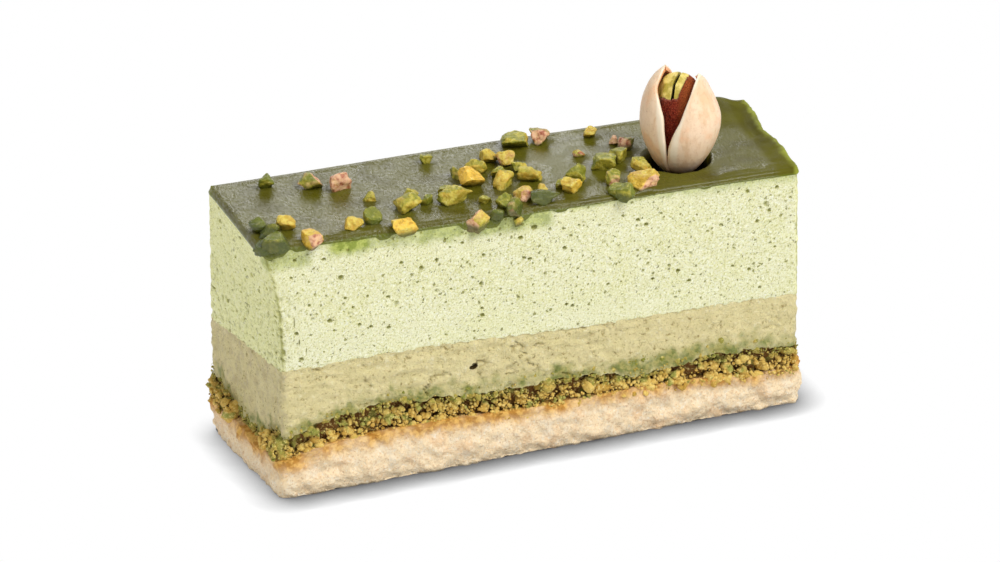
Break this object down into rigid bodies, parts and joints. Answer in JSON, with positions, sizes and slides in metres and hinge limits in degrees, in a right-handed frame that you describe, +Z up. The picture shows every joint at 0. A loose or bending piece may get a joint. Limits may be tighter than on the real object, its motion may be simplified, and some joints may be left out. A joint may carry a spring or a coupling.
{
  "type": "layered pistachio cake finger",
  "caption": "Oblong slice of layered pistachio cake: biscuit base, green crumbs, cream, airy mousse, dark green glaze with chopped nibs and an open nut in its shell on top.",
  "frame": {"origin": "on the table under the middle of the cake", "axes": "+X along the cake to the end with the open nut, +Y from its cut front to its back, +Z up"},
  "size_m": [0.1041, 0.0351, 0.0637],
  "materials": {
    "biscuit": "short, crumbly, pale baked biscuit",
    "crumbs": "rough olive green biscuit crumbs",
    "cream": "dense matt cream with knife marks",
    "mousse": "soft matt mousse full of fine bubbles",
    "glaze": "glossy dark green set glaze, thin and see-through at its edges",
    "nibs": "chopped nut, green to yellow with bits of pink skin",
    "shell": "smooth ivory nut shell with a faint pink blush",
    "kernel": "wrinkled maroon skin over green seed leaves"
  },
  "bodies": {
    "root": {"biscuit_base": "biscuit", "crumb_layer": "crumbs", "cream_layer": "cream", "mousse_layer": "mousse", "glaze": "glaze", "shell_left_half": "shell", "shell_right_half": "shell", "kernel": "kernel"}
  },
  "joints": []
}
